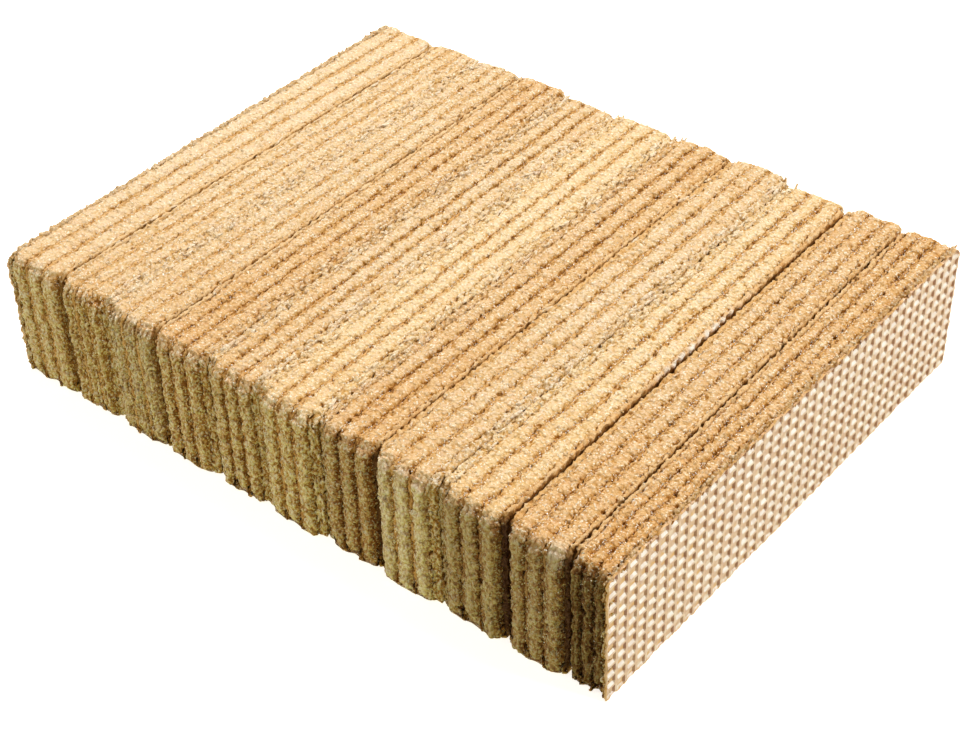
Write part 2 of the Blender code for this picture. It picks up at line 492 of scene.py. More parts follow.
@dataclass(frozen=True)
class SugarFinish:
    """White sugar, glossy enough to sparkle.

    Attributes:
        name: The material's name.
        clear: The colour of the whitest crystals.
        creamy: The colour of those with crumb on them.
    """

    name: str
    clear: Colour = (0.96, 0.96, 0.98)
    creamy: Colour = (0.90, 0.82, 0.66)

    def material(self) -> bpy.types.Material:
        """Builds the finish."""
        graph = ShaderGraph(self.name)
        dust = graph.noise(graph.place, 0.9 * MM, 1.0)
        colour = graph.mix(graph.spread(dust, 0.4, 0.6), self.clear, self.creamy)
        return graph.dress(colour, graph.spread(dust, 0.3, 0.7, 0.1, 0.4), 0.8)


class Bake(Enum):
    """How dark a wafer is baked."""

    PALE = "pale_wafer"
    GOLDEN = "golden_wafer"
    TOASTED = "toasted_wafer"


# Each finish's colours, from the deepest hollow up to the crests
SANDY = {
    Bake.PALE: ((0.43, 0.20, 0.035), (0.65, 0.38, 0.12), (0.76, 0.55, 0.30), (0.83, 0.665, 0.46)),
    Bake.GOLDEN: ((0.43, 0.19, 0.03), (0.67, 0.39, 0.12), (0.79, 0.575, 0.30), (0.87, 0.70, 0.46)),
    Bake.TOASTED: ((0.37, 0.15, 0.02), (0.61, 0.33, 0.09), (0.72, 0.47, 0.22), (0.80, 0.59, 0.355)),
}
CRISP = CrispFinish("crisp_sheet", (0.36, 0.15, 0.025), (0.67, 0.38, 0.12), (0.82, 0.60, 0.34))
# The pits' white shelves are a painted highlight, and their near black walls painted shade.
WAFFLE = WaffleFinish(
    name="waffle_face",
    rib=(0.73, 0.51, 0.36),
    floor=(0.69, 0.47, 0.32),
    edge=(0.70, 0.40, 0.12),
    shelf_highlight=(1.0, 1.0, 1.0),
    wall=(0.30, 0.10, 0.01),
)
SUGAR = SugarFinish("sugar")


class GeometryTree(Graph):
    """A Geometry Nodes tree with named inputs, which shapes an object and is then applied to it."""

    KINDS = {float: "NodeSocketFloat", int: "NodeSocketInt", str: "NodeSocketMaterial"}

    def __init__(self, name: str, inputs: dict[str, type]) -> None:
        """Makes the tree and its inputs.

        Args:
            name: The tree's name.
            inputs: Each input's name and type, str for a material.
        """
        super().__init__(bpy.data.node_groups.new(name, "GeometryNodeTree"))
        face = self.tree.interface
        face.new_socket("Geometry", in_out="INPUT", socket_type="NodeSocketGeometry")
        for label, kind in inputs.items():
            face.new_socket(label, in_out="INPUT", socket_type=self.KINDS[kind])
        face.new_socket("Geometry", in_out="OUTPUT", socket_type="NodeSocketGeometry")
        self.given = self.node("NodeGroupInput").outputs

    @property
    def place(self) -> Socket:
        """Where each point lies."""
        return self.add("GeometryNodeInputPosition")

    def attribute(self, name: str) -> Socket:
        """A number that the mesh holds at each point."""
        return self.add("GeometryNodeInputNamedAttribute", {"Name": name}, data_type="FLOAT")

    def swell(self, size: Any, detail: float, seed: Any) -> Socket:
        """Soft noise of this size in metres, from about -1 to 1."""
        return self.spread(self.noise(self.place, size, detail, seed), 0.25, 0.75, -1.0, 1.0)

    def moved(self, geometry: Socket, offset: Socket) -> Socket:
        """The geometry with its points moved."""
        return self.add("GeometryNodeSetPosition", {"Geometry": geometry, "Offset": offset})

    def smoothed(self, geometry: Socket) -> Socket:
        """The geometry with its faces shaded smooth."""
        return self.add("GeometryNodeSetShadeSmooth", {0: geometry})

    def store(self, geometry: Socket, name: str, value: Socket, domain: str = "POINT") -> Socket:
        """The geometry with a number written on each of its points, faces or instances."""
        inputs = {"Geometry": geometry, "Name": name, "Value": value}
        kinds = {"data_type": "FLOAT", "domain": domain}
        return self.add("GeometryNodeStoreNamedAttribute", inputs, **kinds)

    def close(self, geometry: Socket, *materials: tuple[Socket, Any]) -> None:
        """Ends the tree: instances become real, and the materials are set.

        Args:
            geometry: What the tree has made.
            materials: Each material with the points that it goes on.
        """
        end = self.add("GeometryNodeRealizeInstances", {0: geometry})
        for material, where in materials:
            end = self.add("GeometryNodeSetMaterial", {0: end, 1: where, 2: material})
        self.feed(self.node("NodeGroupOutput").inputs[0], end)

    def apply(self, obj: bpy.types.Object, values: dict[str, Any]) -> None:
        """Runs the tree on an object and keeps the result as its plain mesh.

        Args:
            obj: The object that is shaped.
            values: What each named input is set to.
        """
        modifier = obj.modifiers.new(self.tree.name, "NODES")
        modifier.node_group = self.tree
        for item in self.tree.interface.items_tree:
            if item.in_out == "INPUT" and item.name in values:
                modifier[item.identifier] = values[item.name]
        graph = bpy.context.evaluated_depsgraph_get()
        mesh = bpy.data.meshes.new_from_object(
            obj.evaluated_get(graph), preserve_all_data_layers=True, depsgraph=graph
        )
        obj.modifiers.clear()
        bare, obj.data = obj.data, mesh
        bpy.data.meshes.remove(bare)
        mesh.name = obj.name


class BakedSurface(GeometryTree):
    """Roughens the layers with lumps and grains, and notes how high each point stands."""

    def __init__(self) -> None:
        """Builds the tree."""
        inputs = dict.fromkeys((*SURFACE, "Seed"), float) | {"Crumb": str, "Sheet": str}
        super().__init__("baked_surface", inputs)
        given, seed = self.given, self.given["Seed"]
        lump = self.swell(given["Lump size"], 1.0, seed)
        grain = self.swell(given["Grain size"], 1.0, self.plus(seed, 7.0))
        pore = self.noise(self.place, given["Pore size"], 0.0, self.plus(seed, 19.0))
        pore = self.spread(pore, 0.71, 0.8)
        raised = self.times(lump, given["Lump height"]), self.times(grain, given["Grain height"])
        height = self.math("SUBTRACT", self.plus(*raised), self.times(pore, given["Pore depth"]))
        height = self.times(height, self.attribute("grit"))
        offset = self.scaled(self.add("GeometryNodeInputNormal"), height)
        crest = self.times(self.attribute("crest"), 0.78)
        relief = self.plus(crest, self.times(lump, 0.05), self.times(grain, 0.12))
        relief = self.math("SUBTRACT", relief, self.times(pore, 0.5), clamp=True)
        stored = self.store(self.moved(given["Geometry"], offset), "relief", relief)
        is_sheet = self.math("GREATER_THAN", self.attribute("sheet"), 0.5)
        self.close(self.smoothed(stored), (given["Crumb"], True), (given["Sheet"], is_sheet))


class Bit(Enum):
    """The kinds of loose bits that lie on the cut sides."""

    CRUMB = "crumb"
    FLAKE = "flake"
    CRYSTAL = "crystal"


class LooseBits(GeometryTree):
    """Strews one kind of bit over the layers, as densely as an attribute says."""

    def __init__(self, bit: Bit) -> None:
        """Builds the tree.

        Args:
            bit: What is strewn.
        """
        inputs = {"Density": float, "Smallest": float, "Largest": float, "Seed": int}
        super().__init__(f"loose_{bit.value}s", inputs | {"Material": str})
        given = self.given
        places = {Bit.CRUMB: "crumbs", Bit.FLAKE: "flaky", Bit.CRYSTAL: "sparkle"}
        density = self.times(given["Density"], self.attribute(places[bit]))
        inputs = {"Mesh": given["Geometry"], "Density": density, "Seed": given["Seed"]}
        scatter = {"distribute_method": "RANDOM"}
        points = self.add("GeometryNodeDistributePointsOnFaces", inputs, **scatter)
        turn, least, most = math.pi, (0.6, 0.7, 0.7), (1.0, 1.2, 1.0)
        if bit is Bit.CRYSTAL:
            shape = self.add("GeometryNodeMeshCube", {"Size": (2.0, 1.7, 1.5)})
        elif bit is Bit.CRUMB:
            sizes = {"Radius": 1.0, "Subdivisions": 1}
            shape = self.smoothed(self.add("GeometryNodeMeshIcoSphere", sizes))
        else:
            sizes = {"Segments": 6, "Rings": 5, "Radius": 1.0}
            shape = self.smoothed(self.add("GeometryNodeMeshUVSphere", sizes))
            turn, least, most = 0.25, (0.3, 0.8, 0.2), (0.5, 2.3, 0.36)
        rotation = self.chance((-turn, -turn, -turn), (turn, turn, turn), 1)
        if bit is Bit.FLAKE:
            # A flake lies along the wafer on the top, and upright on the cut ends.
            upright = self.times(self.attribute("upright"), math.pi / 2)
            rotation = self.vector("ADD", rotation, self.add("ShaderNodeCombineXYZ", {0: upright}))
        size = self.chance(given["Smallest"], given["Largest"], 2)
        stretch = self.scaled(self.chance(least, most, 3), size)
        inputs = {"Points": points, "Instance": shape, "Rotation": rotation, "Scale": stretch}
        strewn = self.add("GeometryNodeInstanceOnPoints", inputs)
        lift = self.math("ADD", self.attribute("relief"), self.chance(0.1, 0.4, 4), clamp=True)
        self.close(self.store(strewn, "relief", lift, "INSTANCE"), (given["Material"], True))

    def chance(self, low: Any, high: Any, salt: int) -> Socket:
        """A random value for each bit.

        Args:
            low: The least it can be, a number or a vector.
            high: The most it can be.
            salt: Sets this draw apart from the others.

        Returns:
            The value.
        """
        kind, first, output = ("FLOAT_VECTOR", 0, 0) if isinstance(low, tuple) else ("FLOAT", 2, 1)
        seed = self.plus(self.given["Seed"], float(salt))
        inputs = {first: low, first + 1: high, "Seed": seed}
        return self.add("FunctionNodeRandomValue", inputs, output, data_type=kind)


class WafflePits(GeometryTree):
    """Presses the waffle iron's pits into a sheet's outer face, and frays its cut edge."""

    def __init__(self) -> None:
        """Builds the tree."""
        lengths = ("Pitch along", "Pitch up", "Middle height", "Depth", "Fray")
        shares = ("Rib share", "Wall share", "Slope share", "Outward", "Seed")
        super().__init__("waffle_pits", dict.fromkeys(lengths + shares, float) | {"Material": str})
        given = self.given
        parts = self.node("ShaderNodeSeparateXYZ", {0: self.place}).outputs
        column = self.math("DIVIDE", parts["Y"], given["Pitch along"])
        height = self.math("SUBTRACT", parts["Z"], given["Middle height"])
        row = self.plus(self.math("DIVIDE", height, given["Pitch up"]), 0.5)
        along = self.to_wall(column, given["Wall share"])
        upward = self.to_wall(row, given["Slope share"])
        pit = self.times(along, upward)
        # The pits' lower walls are marked for a painted highlight, and their side walls for painted
        # shade.
        lower = self.math("LESS_THAN", self.math("FRACT", row), 0.5)
        shelf_highlight = self.times(self.is_wall(upward), lower, along)
        wall = self.times(self.is_wall(along), upward)
        painted = self.store(given["Geometry"], "shelf_highlight", shelf_highlight, "FACE")
        painted = self.store(painted, "wall", wall, "FACE")
        worn = self.noise(self.place, WEAR_SIZE * MM, 1.0, given["Seed"])
        worn = self.spread(worn, 0.25, 0.75, 0.75, 1.1)
        depth = self.times(pit, given["Depth"], worn, self.attribute("face"))
        inward = self.times(depth, self.times(given["Outward"], -1.0))
        fray = self.swell(FRAY_SIZE * MM, 2.0, self.plus(given["Seed"], 4.0))
        fray = self.times(fray, given["Fray"], self.attribute("cut"))
        outward = {1: self.attribute("out_y"), 2: self.attribute("out_z")}
        frayed = self.scaled(self.add("ShaderNodeCombineXYZ", outward), fray)
        offset = self.vector("ADD", self.add("ShaderNodeCombineXYZ", {0: inward}), frayed)
        shaped = self.moved(painted, offset)
        stored = self.store(shaped, "pit", self.times(pit, self.attribute("face")))
        self.close(stored, (given["Material"], True))

    def to_wall(self, cell: Socket, low_share: Socket) -> Socket:
        """How far into a pit a point lies, seen along one side.

        Args:
            cell: Its place, counted in cells.
            low_share: How much of the cell the wall at its lower end takes.

        Returns:
            0 on the rib and 1 on the floor.
        """
        rib, part = self.given["Rib share"], self.math("FRACT", cell)
        low = self.math("DIVIDE", self.math("SUBTRACT", part, rib), low_share)
        rest = self.math("SUBTRACT", self.math("SUBTRACT", 1.0, rib), part)
        high = self.math("DIVIDE", rest, self.given["Wall share"])
        return self.math("MINIMUM", low, high, clamp=True)

    def is_wall(self, depth: Socket) -> Socket:
        """1 part way down into a pit, and 0 on its rib and floor."""
        return self.math("COMPARE", depth, 0.5, 0.4)


@dataclass(frozen=True)
class Rim:
    """The way round a wafer's four cut sides, from the bottom front corner along the underside.

    Attributes:
        along: How far from the front to the far end each point lies, as a share.
        up: How far from the underside to the top, as a share.
        off_y: What the rounded corners add to y, in mm.
        off_z: What they add to z, in mm.
        out_y: The outward direction's y.
        out_z: The outward direction's z.
        arc: The distance walked, in mm.
        length: The whole way round, in mm.
        chance: Where its ripples and dimples are drawn from.
    """

    along: Array
    up: Array
    off_y: Array
    off_z: Array
    out_y: Array
    out_z: Array
    arc: Array
    length: float
    chance: np.random.Generator

    @property
    def top(self) -> Array:
        """1 on the top side and 0 on the others, with a soft change at the corners."""
        return np.clip(self.out_z, 0, 1)

    @property
    def base(self) -> Array:
        """1 on the underside."""
        return np.clip(-self.out_z, 0, 1)

    @property
    def front(self) -> Array:
        """1 on the front cut."""
        return np.clip(-self.out_y, 0, 1)

    @property
    def far(self) -> Array:
        """1 on the far cut."""
        return np.clip(self.out_y, 0, 1)

    @property
    def corner(self) -> Array:
        """1 half way round the two upper corners, and 0 on the flat sides."""
        return np.clip(2 * np.abs(self.out_y) * self.top, 0, 1)

    def ripple(self, wave: float) -> Array:
        """Smooth random waves round the rim, mostly between -1 and 1.

        Args:
            wave: Their usual length, in mm.

        Returns:
            The height of the waves at each point.
        """
        usual = self.length / wave
        least, most = max(1, int(0.5 * usual)), int(1.7 * usual) + 2
        counts = self.chance.integers(least, most, RIPPLE_WAVES)
        phases = self.chance.uniform(0, 2 * math.pi, RIPPLE_WAVES)
        turns = 2 * math.pi * np.outer(counts, self.arc) / self.length
        return np.sin(turns + phases[:, None]).sum(0) * math.sqrt(1.2 / RIPPLE_WAVES)

    def dimples(self, width: float) -> Array:
        """One hollow to each cell of the waffle iron, from 0 between them up to 1.

        Args:
            width: How wide they are, in mm.

        Returns:
            How deep in a hollow each point lies.
        """
        cells = round(self.length / PITCH_ALONG)
        centres = np.arange(cells) + self.chance.uniform(-0.22, 0.22, cells)
        sizes = self.chance.beta(1.6, 1.4, cells)
        apart = np.abs(self.arc[None, :] - (centres * self.length / cells)[:, None])
        apart = np.minimum(apart, self.length - apart)
        return (sizes[:, None] * hill(apart, 0.0, width / 2)).max(0)


def walk_rim(width: float, height: float, chance: np.random.Generator) -> Rim:
    """Walks round a wafer.

    Args:
        width: From the front cut to the far cut, in mm.
        height: From the underside to the top, in mm.
        chance: Where the rim's ripples and dimples are drawn from.

    Returns:
        The points on the way.
    """
    # Each corner's share of y and z, the direction it starts in, in degrees, its radius, the
    # length of the side after it and the step along that side
    corners = (
        (0, 0, 180, BASE_RADIUS, width, BASE_STEP),
        (1, 0, 270, BASE_RADIUS, height, RIM_STEP),
        (1, 1, 0, TOP_RADII[0], width, RIM_STEP),
        (0, 1, 90, TOP_RADII[1], height, RIM_STEP),
    )
    rows: list[Array] = []
    for share_y, share_z, first, radius, side, step in corners:
        turns = np.linspace(0, 90, round(radius * math.pi / 2 / RIM_STEP) + 1)
        out_y, out_z = np.cos(np.radians(first + turns)), np.sin(np.radians(first + turns))
        off_y, off_z = radius * (1 - 2 * share_y + out_y), radius * (1 - 2 * share_z + out_z)
        same = np.ones_like(turns)
        rows.append(np.stack([share_y * same, share_z * same, off_y, off_z, out_y, out_z], 1))
        rows.append(np.full((round((side - 2 * radius) / step) - 1, 6), np.nan))
    for number in range(1, len(rows), 2):
        start, end = rows[number - 1][-1], rows[(number + 1) % len(rows)][0]
        count = len(rows[number])
        share = (np.arange(count)[:, None] + 1) / (count + 1)
        rows[number] = start + (end - start) * share
        rows[number][:, 4:] = np.round(start[4:])
    points = np.concatenate(rows)
    y = points[:, 0] * width + points[:, 2]
    z = points[:, 1] * height + points[:, 3]
    walked = np.hypot(np.diff(y, append=y[0]), np.diff(z, append=z[0]))
    arc = np.concatenate([[0.0], np.cumsum(walked)[:-1]])
    return Rim(*points.T, arc, float(walked.sum()), chance)


@dataclass(frozen=True)
class Face:
    """One flat side of a wafer in the frame, in millimetres: x = start + lean * y.

    Attributes:
        start: Its x at y = 0.
        lean: How much x changes with y.
        front: Its lowest y.
        far: Its highest y.
    """

    start: float
    lean: float
    front: float
    far: float

    def x(self, y: Array) -> Array:
        """Its x at each y."""
        return self.start + self.lean * y


@dataclass(frozen=True)
class Slab:
    """Where a wafer stands in the frame, in millimetres.

    Attributes:
        left: Its side that looks along -X.
        right: Its side that looks along +X.
        front: The y of the bands' crests on the front cut.
        far: Their y on the far cut.
        top: Their height.
    """

    left: Face
    right: Face
    front: float
    far: float
    top: float

    @classmethod
    def read(cls, node: str) -> "Slab":
        """Reads the slab off a node of the frame.

        Args:
            node: The node's name.

        Returns:
            The slab.
        """
        points = np.array([vertex.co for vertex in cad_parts[node].data.vertices]) / MM
        low, high = (np.array(corner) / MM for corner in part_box(node))
        faces = []
        for sign in (1, -1):
            ends = []
            for end in (-1, 1):
                near = points[end * points[:, 1] > END_PLACE]
                ends.append(near[np.argmin(sign * near[:, 0])])
            lean = (ends[1][0] - ends[0][0]) / (ends[1][1] - ends[0][1])
            start = ends[0][0] - lean * ends[0][1]
            off_face = np.abs(points[:, 0] - start - lean * points[:, 1])
            on_face = points[off_face < SIDE_REACH, 1]
            faces.append(Face(start, lean, on_face.min(), on_face.max()))
        return cls(faces[0], faces[1], low[1], high[1], high[2])


class Shells:
    """Closed shells gathered into one mesh, with numbers at each point for the finishes to read."""

    def __init__(self) -> None:
        """Starts with nothing in it."""
        self.points: list[Array] = []
        self.faces: list[Any] = []
        self.marks: dict[str, list[Array]] = {}
        self.count = 0

    def add(self, points: Array, faces: list[Any], marks: dict[str, Array]) -> None:
        """Adds one shell.

        Args:
            points: Its points, in mm.
            faces: Lists of arrays of corners, counted from its first point.
            marks: The numbers at its points, by name.
        """
        self.points.append(points)
        for group in faces:
            self.faces += (np.asarray(group) + self.count).tolist()
        for name, values in marks.items():
            self.marks.setdefault(name, []).append(np.broadcast_to(values, len(points)))
        self.count += len(points)

    def make(self, name: str) -> bpy.types.Object:
        """Makes the object.

        Args:
            name: Its name.

        Returns:
            The object.
        """
        mesh = bpy.data.meshes.new(name)
        mesh.from_pydata((np.concatenate(self.points) * MM).tolist(), [], self.faces)
        for mark, values in self.marks.items():
            attribute = mesh.attributes.new(mark, "FLOAT", "POINT")
            attribute.data.foreach_set("value", np.concatenate(values).astype(np.float32))
        return add_object(name, mesh)


@dataclass
class Station:
    """One ring of a layer's loft.

    Attributes:
        share: How far through the wafer it lies.
        shift: How far it is moved along X, in mm, at each point of the rim.
        depth: How far it lies under the crests, in mm.
        wear: How much of the corner wear of its side it takes.
        marks: Numbers for the finishes.
    """

    share: float
    shift: Any
    depth: Any
    wear: float = 0.0
    marks: dict[str, Any] = field(default_factory=dict)


@dataclass(frozen=True)
class SheetShape:
    """How an outer sheet's cut edge looks.

    Attributes:
        share: Its share of the wafer's thickness.
        root: Its depth beside the band, in mm.
        lip: The depth of its edge, in mm.
        brink: How much lower it is beside the crack, in mm.
        sink: How much deeper it lies on the two cut ends, in mm.
        ragged: How far its torn edge rises and falls, in mm.
        tear: How long the tears are, in mm.
        pits: How deep the iron's pits in its outer side are, in mm.
        grit: How rough its surface is.
        flaky: How many torn flakes lie on it.
        tone: How much darker or paler it is baked.
    """

    share: float
    root: float
    lip: float
    brink: float
    sink: float
    ragged: float
    tear: float
    pits: float
    grit: float
    flaky: float
    tone: float


class Sheet(Enum):
    """The kinds of outer sheet."""

    LIP = SheetShape(0.055, 0.22, 0.1, 0.15, 1.0, 0.18, 2.0, 0.25, 1.5, 0.0, 0.6)
    THIN = SheetShape(0.045, 0.25, 0.15, 0.1, 0.8, 0.15, 2.0, 0.1, 1.4, 0.0, 0.4)
    CLOSE = SheetShape(0.045, 0.2, 0.12, 0.05, 0.7, 0.08, 4.0, 0.05, 1.0, 0.1, 0.1)
    SUNK = SheetShape(0.085, 0.3, 0.5, 0.1, 0.9, 0.15, 2.5, 0.2, 1.0, 0.3, 0.1)
    FLAKY = SheetShape(0.115, 0.3, 0.22, 0.12, 0.1, 0.16, 2.6, 0.1, 1.3, 1.0, 0.0)
    WAFFLE = SheetShape(0.13, 0.15, 0.15, 0.2, 0.1, 0.2, 1.8, 0.0, 1.8, 0.1, 0.5)


@dataclass(frozen=True)
class Chip:
    """A place where a bit of a band has broken off.

    Attributes:
        band: The band, counted from 0 on the left.
        across: Where it lies across the band, from -1 to 1.
        y: Its y, in mm.
        z: Its height, in mm.
        size: How far it reaches, in mm.
        depth: How deep it is, in mm.
        pale: Whether fresh pale crumb shows there.
    """

    band: int
    across: float
    y: float
    z: float
    size: float
    depth: float
    pale: bool = False

    def reach(self, across: float, y: Array, z: Array) -> Array:
        """How much of its depth it has at each point, from 0 to 1."""
        apart = np.hypot(y - self.y, z - self.z) / self.size
        return np.exp(-(apart**2) - ((across - self.across) * 1.6 / self.size) ** 2)


@dataclass(frozen=True)
class WaferLook:
    """What is special to one wafer.

    Attributes:
        bake: How dark it is baked.
        left: Its left sheet.
        right: Its right sheet.
        tones: How much darker each band is baked than its finish, from 0 to 1.
        groove: How deep the grooves between the bands are, in mm.
        grooved: How strongly the hollows beside the grooves show.
        leaves: How far the thin leaves within a band stand out, in mm.
        leaf_count: How many of them a band has.
        front_tone: How much darker its bands are baked on the front cut.
        shade: How much darker its front cut is, from 0 to 1.
        spill: How far its left and its right sheet reach past the solid, in mm.
        cream: How much filling sticks to its left and its right sheet.
        sugar: How much sugar shows.
        rough: How strongly its grains stand out on the top side.
        pallor: How much paler than its finish its front cut is.
        chips: Where bits have broken off.
    """

    bake: Bake
    left: Sheet
    right: Sheet
    tones: tuple[float, float, float]
    groove: float = 0.5
    grooved: float = 1.0
    leaves: float = 0.04
    leaf_count: float = 2.8
    front_tone: float = 0.0
    shade: float = 0.0
    spill: tuple[float, float] = (0.1, 0.1)
    cream: tuple[float, float] = (0.0, 0.0)
    sugar: float = 1.0
    rough: float = 1.0
    pallor: float = 0.06
    chips: tuple[Chip, ...] = ()


LOOKS = {
    "wafer_01": WaferLook(
        Bake.PALE, Sheet.WAFFLE, Sheet.CLOSE, (0.0, 0.0, 0.05), 0.28, 0.6,
        front_tone=0.2, spill=(0.0, 0.03), sugar=0.5, rough=0.8,
    ),
    "wafer_02": WaferLook(
        Bake.PALE, Sheet.CLOSE, Sheet.FLAKY, (0.05, 0.05, 0.0), 0.26, 0.35,
        leaves=0.2, leaf_count=2.0, spill=(0.03, 0.1), sugar=0.6, rough=0.9,
        chips=(Chip(2, 0.4, -54.0, 27.4, 1.5, 1.1),),
    ),
    "wafer_03": WaferLook(
        Bake.PALE, Sheet.FLAKY, Sheet.THIN, (0.0, 0.05, 0.25), 0.25, 0.5,
        leaves=0.17, leaf_count=3.4, front_tone=-0.2, pallor=0.2,
        spill=(0.1, 0.03), sugar=0.8, rough=1.05,
    ),
    "wafer_04": WaferLook(
        Bake.TOASTED, Sheet.CLOSE, Sheet.FLAKY, (0.1, 0.2, 0.1), 0.42, 0.9,
        leaves=0.06, spill=(0.03, 0.1), sugar=0.9, rough=1.2,
    ),
    "wafer_05": WaferLook(
        Bake.PALE, Sheet.FLAKY, Sheet.FLAKY, (0.4, 0.25, 0.2), 0.42, 1.0,
        leaves=0.06, sugar=0.9, rough=1.1,
    ),
    "wafer_06": WaferLook(
        Bake.GOLDEN, Sheet.FLAKY, Sheet.FLAKY, (0.0, 0.0, 0.05), 0.33, 0.85, sugar=0.9
    ),
    "wafer_07": WaferLook(
        Bake.TOASTED, Sheet.FLAKY, Sheet.THIN, (0.0, 0.2, 0.3), 0.5, 1.0,
        front_tone=0.4, shade=0.28, sugar=1.2, rough=1.2,
        chips=(Chip(1, 0.9, -14.2, 28.0, 0.8, 0.9),),
    ),
    "wafer_08": WaferLook(
        Bake.PALE, Sheet.SUNK, Sheet.FLAKY, (0.4, 0.35, 0.3), 0.33, 0.85,
        front_tone=-0.3, pallor=0.32, sugar=1.2, rough=1.2,
    ),
    "wafer_09": WaferLook(
        Bake.GOLDEN, Sheet.FLAKY, Sheet.LIP, (0.2, 0.2, 0.25), 0.4, 0.85,
        front_tone=0.3, shade=0.5, pallor=0.15, spill=(0.1, 0.2), cream=(0.0, 1.0),
        sugar=1.6, rough=1.2,
    ),
    "wafer_10": WaferLook(
        Bake.TOASTED, Sheet.SUNK, Sheet.THIN, (0.2, 0.25, 0.35), 0.38, 0.85,
        front_tone=0.2, shade=0.52, pallor=0.12, spill=(0.2, 0.12), sugar=2.1, rough=1.4,
        chips=(Chip(2, -0.2, -54.4, 26.4, 2.0, 0.7, pale=True),),
    ),
    "wafer_11": WaferLook(
        Bake.TOASTED, Sheet.THIN, Sheet.WAFFLE, (0.5, 0.45, 0.6), 0.48, 1.1,
        leaves=0.1, leaf_count=2.2, front_tone=0.2, shade=0.95, spill=(0.2, 0.0),
        cream=(0.8, 0.0), sugar=1.9, rough=1.45,
        chips=(Chip(2, 0.2, -55.0, 0.5, 1.5, 1.2),),
    ),
}


@dataclass
class Border:
    """The line between two layers.

    Attributes:
        share: Where it lies in the wafer's thickness.
        wander: How far it strays along X, in mm, at each point of the rim.
        bite: How deep a hollow the layers beside it have there, from 0 to 1.
    """

    share: float
    wander: Array
    bite: Array


